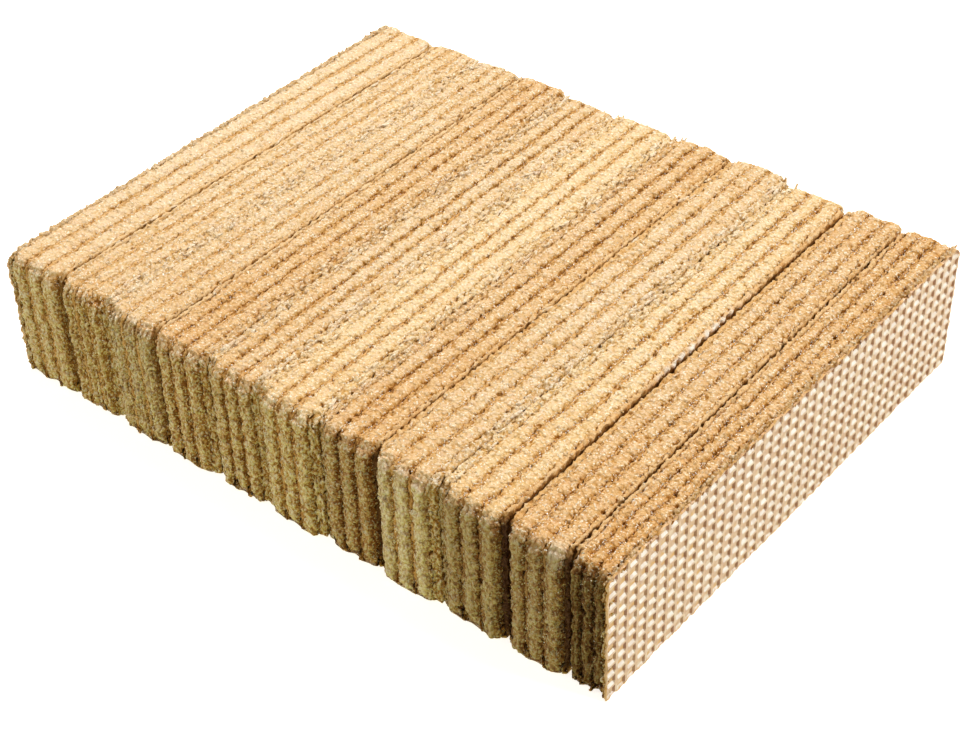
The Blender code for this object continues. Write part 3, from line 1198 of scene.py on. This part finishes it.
@dataclass
class Wafer:
    """One filled wafer, from its layers to the sugar on them.

    Attributes:
        name: Its node in the frame.
        look: What is special to it.
        trees: The Geometry Nodes trees that finish it.
        crumb: The finish of its bands.
        sheet: The finish of its sheets.
        sugar: The finish of the sugar.
        roundness: The power that shapes the bands' crests, 2 for round and more for flatter ones.
        wander: How far the lines between the layers stray in their long waves, in mm.
        stray: How far they stray in each of their short waves, in mm.
        long_wave: The length of the long waves, in mm.
        short_waves: The lengths of the short ones, in mm.
        hollow_width: How wide the hollows on the lines are, in mm.
        bite: How far a hollow shifts its line into the band, in mm.
        crest_waves: How far the crests rise and fall, and in waves of which length, in mm.
        tone_wave: The length of the bands' darker and paler stretches, in mm.
        leaf_wave: The length of the waves that the thin leaves run in, in mm.
        seed: The seed of its chance, before its number is added.
    """

    name: str
    look: WaferLook
    trees: dict[str, GeometryTree]
    crumb: bpy.types.Material
    sheet: bpy.types.Material
    sugar: bpy.types.Material
    roundness: float = 2.2
    wander: float = 0.13
    stray: float = 0.09
    long_wave: float = 16.0
    short_waves: tuple[float, ...] = (5.0, 2.4, 1.3, 0.9)
    hollow_width: float = 1.5
    bite: float = 0.26
    crest_waves: tuple[tuple[float, float], ...] = ((0.08, 8.0), (0.09, 2.4))
    tone_wave: float = 25.0
    leaf_wave: float = 12.0
    seed: int = 100

    def __post_init__(self) -> None:
        """Reads its place off the frame and walks round it."""
        self.slab = Slab.read(self.name)
        self.number = int(self.name[-2:])
        self.chance = np.random.default_rng(self.seed + self.number)
        width = self.slab.far - self.slab.front
        self.rim = walk_rim(width, self.slab.top, self.chance)
        self.y = self.slab.front + self.rim.along * width + self.rim.off_y
        self.z = self.rim.up * self.slab.top + self.rim.off_z
        self.clear_of_floor = np.clip(2 * self.z - 1.0, 0, 1)
        self.rough = self.look.rough * (1 - 0.8 * self.rim.front) + 2.0 * self.rim.front

    def borders(self) -> list[Border]:
        """Draws the lines between its layers.

        Returns:
            The lines, from left to right.
        """
        left, right = self.look.left.value.share, self.look.right.value.share
        band = (1 - left - right - (BANDS - 1) * INNER_SHEET_SHARE) / BANDS
        widths = [left, *[band, INNER_SHEET_SHARE] * (BANDS - 1), band]
        lines = []
        for number, share in enumerate(accumulate(widths)):
            wander = self.wander * self.rim.ripple(self.long_wave)
            for wave in self.short_waves:
                wander = wander + self.stray * self.rim.ripple(wave)
            # The hollows are strong on the right of each band, and faint on its left.
            strength = 1.0 if number % 2 else 0.2
            bite = self.rim.dimples(self.hollow_width) * strength * self.look.grooved
            lines.append(Border(share, wander, bite * (1 - 0.7 * self.rim.base)))
        return lines

    def loft(self, shells: Shells, stations: list[Station]) -> None:
        """Lofts one layer through its rings, with a flat foot below each end, deep in the wafer.

        Args:
            shells: Where the layer is added.
            stations: Its rings, from left to right.
        """
        rim, slab, count = self.rim, self.slab, len(self.rim.arc)
        still = dict.fromkeys(("grit", "crumbs", "flaky", "sparkle", "crest"), 0.0)
        left_foot, right_foot = (
            Station(end.share, gap, ROOT_DEPTH, end.wear, end.marks | still)
            for end, gap in ((stations[0], LAYER_GAP), (stations[-1], -LAYER_GAP))
        )
        rings, marks = [], {}
        for station in (left_foot, *stations, right_foot):
            side = slab.left if station.share < 0.5 else slab.right
            front = slab.front + station.wear * (side.front - slab.front)
            far = slab.far + station.wear * (side.far - slab.far)
            y = front + rim.along * (far - front) + rim.off_y - station.depth * rim.out_y
            z = rim.up * slab.top + rim.off_z - station.depth * rim.out_z
            left, right = slab.left.x(y), slab.right.x(y)
            x = left + (right - left) * station.share + station.shift
            rings.append(np.stack([x, y, z], 1))
            for name, value in station.marks.items():
                marks.setdefault(name, []).append(np.broadcast_to(value, count))
        here = np.arange(count)
        after = np.roll(here, -1)
        quads = np.stack([here, after, after + count, here + count], 1)
        faces = [quads + count * number for number in range(len(rings) - 1)]
        faces += [here[::-1][None, :], (here + count * (len(rings) - 1))[None, :]]
        marks = {name: np.concatenate(values) for name, values in marks.items()}
        shells.add(np.concatenate(rings), faces, marks)

    def add_band(self, shells: Shells, number: int, left: Border, right: Border) -> None:
        """Adds one thick sandy band.

        Args:
            shells: Where it is added.
            number: Which band it is, from 0 on the left.
            left: The line on its left.
            right: The line on its right.
        """
        rim, look, chance = self.rim, self.look, self.chance
        top, base, front = rim.top, rim.base, rim.front
        waves = sum(height * rim.ripple(length) for height, length in self.crest_waves)
        waves = waves - waves.min() * 0.5 + chance.uniform(0.0, 0.5) * rim.corner
        tone = look.tones[number] + 0.12 * rim.ripple(self.tone_wave) + look.front_tone * front
        for darker, middle, reach in TOP_TONE_PATCHES:
            tone = tone + darker * hill(self.y, middle, reach) * top
        squareness = self.roundness - 0.1 * front + 3.0 * base
        groove = look.groove * (1.08 + 0.65 * front - 0.58 * base) + 0.32 * front
        leaf_phase = chance.uniform(0, 2 * math.pi) + 1.2 * rim.ripple(self.leaf_wave)
        # Spots of filling lie on the top, near the front.
        spots = np.clip(2.2 * rim.dimples(self.hollow_width) - 0.7, 0, 1)
        spots = spots * (np.clip((0.4 - rim.along) / 0.1, 0, 1) * top)
        pale_end = chance.uniform(0.0, 0.15) * (1 - look.shade) * rim.corner * (rim.along < 0.5)
        # The bottom front corner is broken off a little.
        foot_size, foot_depth = chance.uniform(0.9, 2.2), chance.uniform(0.1, 1.3)
        foot_across = chance.uniform(-0.7, 0.7)
        foot = foot_depth * hill(np.hypot(self.y - self.slab.front, self.z), 0.0, foot_size)
        stations = []
        even = np.linspace(-1, 1, BAND_RINGS)
        for u in 0.45 * even + 0.55 * np.sin(even * math.pi / 2):
            to_left, to_right, near = (1 - u) / 2, (1 + u) / 2, abs(u)
            fall = 1 - (1 - near**squareness) ** (1 / squareness)
            leaf = 0.5 + 0.5 * np.cos(math.pi * look.leaf_count * u + leaf_phase)
            hollow = groove * fall + 0.4 * (left if u < 0 else right).bite * near**4
            hollow = hollow + look.leaves * leaf**2 * (1 + 2.8 * front - base)
            crest = np.clip(1.0 - hollow / BAND_SHADOW, 0, 1)
            cream = spots * look.cream[0] * (number == 0) * math.exp(-(((u + 0.7) / 0.25) ** 2))
            broken = foot * math.exp(-((0.9 * (u - foot_across)) ** 2))
            for chip in look.chips:
                if chip.band == number:
                    bit = chip.reach(u, self.y, self.z)
                    broken = broken + chip.depth * bit
                    # A chip is painted darker, as painted shade in its hole, unless fresh pale
                    # crumb shows there.
                    crest = np.clip(crest + (0.5 if chip.pale else -1.2) * bit, 0, 1)
                    cream = cream + 0.45 * bit * chip.pale
            cream = cream + pale_end * crest + look.pallor * front**2 * (0.15 + 0.85 * crest)
            marks = {
                "crest": crest,
                "tone": tone,
                "grit": 1.0 + 0.35 * front - 0.92 * base,
                "crumbs": self.clear_of_floor * min(1.0, max(0.04, 4 * near - 3)),
                "flaky": 0.0,
                "upright": 1 - top,
                "sparkle": hill(crest, 0.3, 0.26) * (1 - base) * (1 - 0.85 * front),
                "shade": look.shade * front,
                "cream": np.clip(cream, 0, 1),
                "sheet": 0.0,
                "rough": self.rough * (0.8 + 0.5 * near**2),
            }
            share = left.share * to_left + right.share * to_right
            edge_left = left.wander + self.bite * left.bite
            edge_right = right.wander - self.bite * right.bite
            shift = edge_left * to_left + edge_right * to_right
            depth = hollow + broken + waves * (1 - fall)
            wear = 0.4 * near**3 * ((number == 0 and u < 0) or (number == BANDS - 1 and u > 0))
            stations.append(Station(share, shift, depth, wear, marks))
        self.loft(shells, stations)

    def add_inner_sheet(self, shells: Shells, left: Border, right: Border) -> None:
        """Adds the thin sheet sunk between two bands.

        Args:
            shells: Where it is added.
            left: The line on its left.
            right: The line on its right.
        """
        look, front, base = self.look, self.rim.front, self.rim.base
        hollow = np.maximum(left.bite, right.bite)
        ragged = 0.08 * self.rim.ripple(1.6)
        sunk = look.groove * (0.95 + 1.1 * front - 0.45 * base)
        # The deeper an inner sheet lies between its bands, the darker it is painted, as painted
        # shade.
        marks = {
            "crest": np.clip(0.9 - 0.9 * look.groove - 0.35 * hollow + ragged, 0, 1),
            "tone": 0.3,
            "grit": 0.8 - 0.6 * base,
            "crumbs": 0.3,
            "flaky": 0.0,
            "upright": 0.0,
            "sparkle": (1.0 - base) * (1 - 0.6 * front),
            "shade": look.shade * front,
            "cream": 0.0,
            "sheet": 1.0,
            "rough": self.rough,
        }
        middle = Border((left.share + right.share) / 2, (left.wander + right.wander) / 2, hollow)
        stations = []
        for line, rise in ((left, 0.1), (middle, 0.0), (right, 0.1)):
            depth = np.maximum(sunk + rise + ragged + 0.35 * hollow, 0.1)
            stations.append(Station(line.share, line.wander, depth, 0.0, marks))
        self.loft(shells, stations)

    def add_outer_sheet(self, shells: Shells, kind: Sheet, border: Border, on_left: bool) -> None:
        """Adds the sheet beside a crack.

        Args:
            shells: Where it is added.
            kind: How its cut edge looks.
            border: The line between it and the band.
            on_left: Whether it is the wafer's left sheet.
        """
        rim, look, shape = self.rim, self.look, kind.value
        top, base, front = rim.top, rim.base, rim.front
        inward = 1 if on_left else -1
        spill = look.spill[0 if on_left else 1]
        tears = [rim.ripple(shape.tear) for _ in SHEET_RINGS]
        nibbled = rim.dimples(1.2) * (0.1 + 0.2 * (kind is Sheet.FLAKY))
        tone = shape.tone + 0.15 * rim.ripple(12.0)
        pits = self.pit_row(self.z, PITCH_UP, RIB_HEIGHT)
        pits = np.where(top > 0.5, self.pit_row(self.y, PITCH_ALONG, 0.0), pits)
        pits = pits * np.clip(0.7 + 0.4 * rim.ripple(9.0), 0, 1.2)
        stuck = rim.dimples(2.2) ** 1.5 * look.cream[1] * (not on_left) * top
        stuck = stuck * np.exp(-(((self.y - CREAM_PLACE) / CREAM_REACH) ** 4))
        # Sunk sheets are painted darker on the front cut, as painted shade in their recess.
        shade = np.clip(look.shade + 0.7 * shape.sink, 0, 1) * front
        end = WAFFLE_SHARE if kind is Sheet.WAFFLE else 0.0
        end = end if on_left else 1 - end
        stations = []
        for number, out in enumerate(SHEET_RINGS):
            torn = tears[0] * 0.8 + tears[number] * 0.2
            if kind is Sheet.FLAKY:
                # Neighbouring rings share a tear in pairs, so that thin leaves split off.
                torn = tears[number // 2 * 2]
            inner, outer = max(0.0, 1 - out / 0.3) ** 2, max(0.0, (out - 0.72) / 0.28) ** 2
            depth = shape.lip + (shape.root - shape.lip) * inner + shape.brink * outer
            depth = np.maximum(depth + shape.ragged * torn + nibbled, 0.02)
            depth = depth + shape.sink * (front + rim.far) - 0.1 * stuck * (1 - outer)
            marks = {
                "crest": np.clip(1.0 - depth / SHEET_SHADOW, 0.0, 1),
                "tone": tone,
                "grit": shape.grit * (1 - 0.92 * base),
                "crumbs": 0.4 * shape.grit * self.clear_of_floor,
                "flaky": shape.flaky * (1 - base) * np.clip(self.z - 2.5, 0, 1),
                "upright": 1 - top,
                "sparkle": 0.12 * (1 - base),
                "shade": 0.2 if kind is Sheet.WAFFLE else shade,
                "cream": np.clip(stuck * 2.0, 0, 1) * out,
                "sheet": float(kind not in (Sheet.FLAKY, Sheet.WAFFLE)),
                "rough": self.rough,
            }
            share = border.share + (end - border.share) * out
            shift = border.wander * (1 - out) + inward * (shape.pits * pits * outer - spill * out)
            stations.append(Station(share, shift, np.maximum(depth, 0.0), 0.6 + 0.4 * out, marks))
        last = stations[-1]
        # Deep in the crack the sheet is painted dark, as painted shade between the wafers; flaky
        # sheets less so.
        deep = {"crest": 0.1, "shade": 0.3, "cream": 0.0, "crumbs": 0.1, "flaky": 0.0}
        if kind is Sheet.FLAKY:
            deep |= {"crest": 0.4, "shade": 0.0}
        shift = last.shift + 0.1 * inward
        stations.append(Station(last.share, shift, last.depth + 0.8, last.wear, last.marks | deep))
        self.loft(shells, stations[::-1] if on_left else stations)

    @staticmethod
    def pit_row(place: Array, pitch: float, rib: float) -> Array:
        """How deep in the iron's pits each place lies, from 0 on a rib to 1 on a floor."""
        return np.clip((0.5 - 0.5 * np.cos(2 * math.pi * (place - rib) / pitch) - 0.2) / 0.4, 0, 1)

    def build(self) -> list[bpy.types.Object]:
        """Builds its pieces.

        Returns:
            The layers, the crumbs and flakes on them, and the sugar.
        """
        borders = self.borders()
        shells = Shells()
        for number in range(BANDS):
            self.add_band(shells, number, *borders[2 * number : 2 * number + 2])
        for number in range(1, 2 * BANDS - 1, 2):
            self.add_inner_sheet(shells, *borders[number : number + 2])
        self.add_outer_sheet(shells, self.look.left, borders[0], True)
        self.add_outer_sheet(shells, self.look.right, borders[-1], False)
        layers = shells.make(f"{self.name}_layers")
        values = {label: size * MM for label, size in SURFACE.items()}
        values |= {"Seed": float(self.number), "Crumb": self.crumb, "Sheet": self.sheet}
        self.trees["surface"].apply(layers, values)
        pieces = [layers]
        for kind, (density, least, most) in STREWN.items():
            piece = add_object(f"{self.name}_{kind}", layers.data.copy())
            values = {"Density": density, "Smallest": least * MM, "Largest": most * MM}
            values |= {"Seed": 31 * self.number, "Material": self.crumb}
            if kind == "sugar":
                values |= {"Density": density * self.look.sugar, "Material": self.sugar}
            self.trees[kind].apply(piece, values)
            pieces.append(piece)
        return pieces

    def dress(self) -> int:
        """Puts its pieces in the node's place.

        Returns:
            How many faces they have.
        """
        faces = 0
        for piece in self.build():
            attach(piece, "root")
            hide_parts(self.name)
            faces += len(piece.data.polygons)
        return faces


@dataclass
class EndSheet:
    """The outer sheet at one end of the brick, whose face carries the iron's pits.

    Attributes:
        wafer: The wafer that it belongs to.
        outward: +1 if it looks along +X, or -1.
        tree: The tree that presses the pits.
        material: Its finish.
        places: Where a cell's points lie along the wafer, as shares of it from a rib's middle.
        rows: Where they lie upwards.
        inset: How far its edges lie inside the wafer's, in mm.
        top_inset: How far its top edge lies under the crests, in mm.
        corners: The radii of its bottom and top corners, the front one first, in mm.
        depth: How deep the pits are, in mm.
        fray: How far its cut edge strays, in mm.
    """

    wafer: Wafer
    outward: int
    tree: WafflePits
    material: bpy.types.Material
    places: tuple[float, ...] = (0.0, 0.1, 0.2, 0.35, 0.5, 0.65, 0.8, 0.9)
    rows: tuple[float, ...] = (0.0, 0.1, 0.26, 0.5, 0.65, 0.8, 0.9)
    inset: float = 0.25
    top_inset: float = 0.45
    corners: tuple[float, float, float, float] = (0.8, 0.8, 1.6, 2.2)
    depth: float = 0.45
    fray: float = 0.6

    def round_corners(self, y: Array, z: Array) -> tuple[Array, Array]:
        """Draws the points near the face's four corners in, so that its outline is round there.

        Args:
            y: The points' y, in mm.
            z: Their heights, in mm.

        Returns:
            Their new y and height.
        """
        y_ends, z_ends = (y.min(), y.max()), (z.min(), z.max())
        for number, radius in enumerate(self.corners):
            far, top = number % 2, number // 2
            sign_y, sign_z = 2 * far - 1, 2 * top - 1
            a = np.clip(sign_y * (y - (y_ends[far] - sign_y * radius)) / radius, 0, 1)
            b = np.clip(sign_z * (z - (z_ends[top] - sign_z * radius)) / radius, 0, 1)
            y = y + sign_y * radius * a * (np.sqrt(1 - b**2 / 2) - 1)
            z = z + sign_z * radius * b * (np.sqrt(1 - a**2 / 2) - 1)
        return y, z

    @staticmethod
    def lines(shares: tuple, low: float, high: float, pitch: float, rib: float) -> Array:
        """The places of the points along one side of the face, which keep to the pits' lines.

        Args:
            shares: Where a cell's points lie, as shares of it.
            low: Where the face starts, in mm.
            high: Where it ends, in mm.
            pitch: How far apart the pits are, in mm.
            rib: A place where a rib lies, in mm.

        Returns:
            The places.
        """
        first, last = math.floor((low - rib) / pitch), math.ceil((high - rib) / pitch)
        cells = np.arange(first, last + 1)[:, None] + np.array(shares)[None, :]
        inner = cells.ravel() * pitch + rib
        inner = inner[(inner > low + EDGE_GAP) & (inner < high - EDGE_GAP)]
        return np.concatenate([[low], inner, [high]])

    def build(self) -> bpy.types.Object:
        """Builds the sheet: a finely divided outer face, a rim and a flat back.

        Returns:
            The piece.
        """
        slab, inset = self.wafer.slab, self.inset
        side, share = slab.left, WAFFLE_SHARE
        if self.outward > 0:
            side, share = slab.right, 1 - WAFFLE_SHARE
        y = self.lines(self.places, slab.front + inset, slab.far - inset, PITCH_ALONG, 0.0)
        z = self.lines(self.rows, inset, slab.top - self.top_inset, PITCH_UP, RIB_HEIGHT)
        grid_y, grid_z = (values.ravel() for values in np.meshgrid(y, z))
        round_y, round_z = self.round_corners(grid_y, grid_z)
        face = np.stack([side.x(round_y), round_y, round_z], 1)
        grid = np.arange(len(face)).reshape(len(z), len(y))
        corners = (grid[:-1, :-1], grid[:-1, 1:], grid[1:, 1:], grid[1:, :-1])
        loop = np.concatenate([grid[0, :-1], grid[:-1, -1], grid[-1, :0:-1], grid[:0:-1, 0]])
        back = face[loop].copy()
        back[:, 0] = slab.left.x(back[:, 1]) * (1 - share) + slab.right.x(back[:, 1]) * share
        points = np.concatenate([face, (face[loop] + back) / 2, back])
        first = len(face) + np.arange(len(loop))
        second = first + len(loop)
        faces = [np.stack(corners, -1).reshape(-1, 4)]
        for near, away in ((loop, first), (first, second)):
            faces.append(np.stack([np.roll(near, -1), near, away, np.roll(away, -1)], 1))
        faces.append(second[::-1][None, :])
        if self.outward < 0:
            faces = [group[:, ::-1] for group in faces]
        outward = []
        for square, line in ((grid_y, y), (grid_z, z)):
            square = np.concatenate([square, square[loop], square[loop]])
            outward.append(np.isclose(square, line[-1]) * 1.0 - np.isclose(square, line[0]))
        cut = (outward[0] != 0) | (outward[1] != 0)
        inside = (np.arange(len(points)) < len(face)) & ~cut
        marks = {"face": inside * 1.0, "cut": cut * 1.0, "out_y": outward[0], "out_z": outward[1]}
        shells = Shells()
        shells.add(points, faces, marks)
        sheet = shells.make(f"{self.wafer.name}_waffle_sheet")
        lengths = {
            "Pitch along": PITCH_ALONG,
            "Pitch up": PITCH_UP,
            "Middle height": PIT_MIDDLE_HEIGHT,
            "Depth": self.depth,
            "Fray": self.fray,
        }
        others = {
            "Rib share": self.places[1],
            "Wall share": self.places[2] - self.places[1],
            "Slope share": self.rows[2] - self.rows[1],
            "Outward": float(self.outward),
            "Seed": 5.0 + self.outward,
            "Material": self.material,
        }
        self.tree.apply(sheet, {label: value * MM for label, value in lengths.items()} | others)
        return sheet

    def dress(self) -> int:
        """Puts the sheet in its wafer's place.

        Returns:
            How many faces it has.
        """
        sheet = self.build()
        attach(sheet, "root")
        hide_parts(self.wafer.name)
        return len(sheet.data.polygons)


@dataclass(frozen=True)
class Lamp:
    """One soft lamp.

    Attributes:
        name: Its name.
        towards: The direction from the brick to the lamp.
        distance: How far off it is, in metres.
        size: Its width, in metres.
        power: Its power, in watts.
        colour: Its colour.
    """

    name: str
    towards: Point
    distance: float
    size: float
    power: float
    colour: Colour = (1.0, 1.0, 1.0)

    def place(self) -> None:
        """Hangs the lamp, facing the brick."""
        light = bpy.data.lights.new(self.name, "AREA")
        light.size, light.energy, light.color = self.size, self.power, self.colour
        lamp, direction = add_object(self.name, light), Vector(self.towards).normalized()
        lamp.location = direction * self.distance
        lamp.rotation_euler = direction.to_track_quat("Z", "Y").to_euler()


@dataclass(frozen=True)
class Studio:
    """The floor, the light and the camera.

    Attributes:
        azimuth: Where the camera stands round the brick, in degrees.
        elevation: How high it stands, in degrees.
        roll: How far it is tilted, in degrees.
        distance: How far off it is, in metres.
        lens: Its focal length, in mm, on a sensor 36 mm wide.
        aim: What it looks at, in metres.
        lamps: What lights the brick.
        floor_reach: How far the floor reaches from the middle, in metres.
        glow: How strongly the floor shines, which keeps it plain and pale.
    """

    azimuth: float = 40.282
    elevation: float = 39.160
    roll: float = -1.820
    distance: float = 0.38726
    lens: float = 74.03
    aim: Point = (0.0007, 0.0, 0.0)
    lamps: tuple[Lamp, ...] = (
        Lamp("key", (-0.55, 0.42, 0.72), 0.9, 0.2, 5.9, (1.0, 0.98, 0.96)),
        Lamp("side", (0.68, 0.24, 0.72), 0.9, 0.25, 4.9, (0.97, 0.985, 1.0)),
        Lamp("front", (-0.6, -0.7, 0.38), 0.9, 0.4, 1.95, (1.0, 0.99, 0.97)),
    )
    floor_reach: float = 3.0
    glow: float = 0.75

    def set_camera(self) -> None:
        """Makes the camera."""
        turn, rise, roll = map(math.radians, (self.azimuth, self.elevation, self.roll))
        level = Vector((math.cos(turn), math.sin(turn), 0.0))
        outward = Vector((math.sin(turn), -math.cos(turn), 0.0))
        back = outward * math.cos(rise) + Vector((0.0, 0.0, math.sin(rise)))
        upright = back.cross(level)
        right = math.cos(roll) * level + math.sin(roll) * upright
        up = math.cos(roll) * upright - math.sin(roll) * level
        camera = add_object("camera", bpy.data.cameras.new("camera"))
        camera.data.lens = self.lens
        camera.data.sensor_width = 36.0
        camera.data.clip_start = 0.01
        eye = Matrix.Translation(back * self.distance + Vector(self.aim))
        camera.matrix_world = eye @ Matrix((right, up, back)).transposed().to_4x4()
        bpy.context.scene.camera = camera

    def lay_floor(self) -> None:
        """Lays a plain white floor under the brick."""
        mesh = bpy.data.meshes.new("floor")
        corners = ((-1, -1), (1, -1), (1, 1), (-1, 1))
        points = [(x * self.floor_reach, y * self.floor_reach, 0) for x, y in corners]
        mesh.from_pydata(points, [], [(0, 1, 2, 3)])
        floor = add_object("floor", mesh)
        graph = ShaderGraph("floor_white")
        shade = graph.spread(graph.noise(graph.place, 0.4, 1.0), 0.3, 0.7)
        mesh.materials.append(graph.dress(graph.mix(shade, (0.93,) * 3, (0.91,) * 3), 0.9))
        shader = graph.tree.nodes["Principled BSDF"]
        shader.inputs["Emission Color"].default_value = (1.0, 1.0, 1.0, 1.0)
        shader.inputs["Emission Strength"].default_value = self.glow
        floor.visible_diffuse = False

    def light(self) -> None:
        """Hangs the lamps and sets the room's light, neutral from above and warm from below."""
        for lamp in self.lamps:
            lamp.place()
        world = bpy.data.worlds.new("studio")
        world.use_nodes = True
        bpy.context.scene.world = world
        graph = Graph(world.node_tree)
        direction = graph.add("ShaderNodeTexCoord", output="Generated")
        height = graph.add("ShaderNodeSeparateXYZ", {0: direction}, "Z")
        below, above = (0.61, 0.59, 0.09, 1.0), (0.36, 0.31, 0.22, 1.0)
        inputs = {0: graph.spread(height, -0.15, 0.15), 6: below, 7: above}
        colour = graph.add("ShaderNodeMix", inputs, 2, data_type="RGBA")
        graph.feed(world.node_tree.nodes["Background"].inputs["Color"], colour)
        bpy.context.scene.view_settings.view_transform = "Standard"

    def build(self) -> None:
        """Sets up the whole studio."""
        self.set_camera()
        self.lay_floor()
        self.light()


def main() -> None:
    """Builds the brick and its studio."""
    logging.basicConfig(level=logging.INFO, format="%(message)s")
    Studio().build()
    crumbs = {
        bake: SandyFinish(f"{bake.name.lower()}_crumb", *colours).material()
        for bake, colours in SANDY.items()
    }
    crisp, waffle, sugar = CRISP.material(), WAFFLE.material(), SUGAR.material()
    trees = {
        "surface": BakedSurface(),
        "crumbs": LooseBits(Bit.CRUMB),
        "flakes": LooseBits(Bit.FLAKE),
        "sugar": LooseBits(Bit.CRYSTAL),
    }
    pits = WafflePits()
    for name, look in LOOKS.items():
        wafer = Wafer(name, look, trees, crumbs[look.bake], crisp, sugar)
        log.info("%s: %d faces", name, wafer.dress())
        ends = []
        if look.left is Sheet.WAFFLE:
            low = {"inset": 0.8, "top_inset": 1.3, "corners": (1.0, 1.0, 2.5, 3.5)}
            ends.append(EndSheet(wafer, -1, pits, waffle, **low))
        if look.right is Sheet.WAFFLE:
            ends.append(EndSheet(wafer, 1, pits, waffle))
        for end in ends:
            log.info("%s end sheet: %d faces", name, end.dress())


if __name__ == "__main__":
    main()
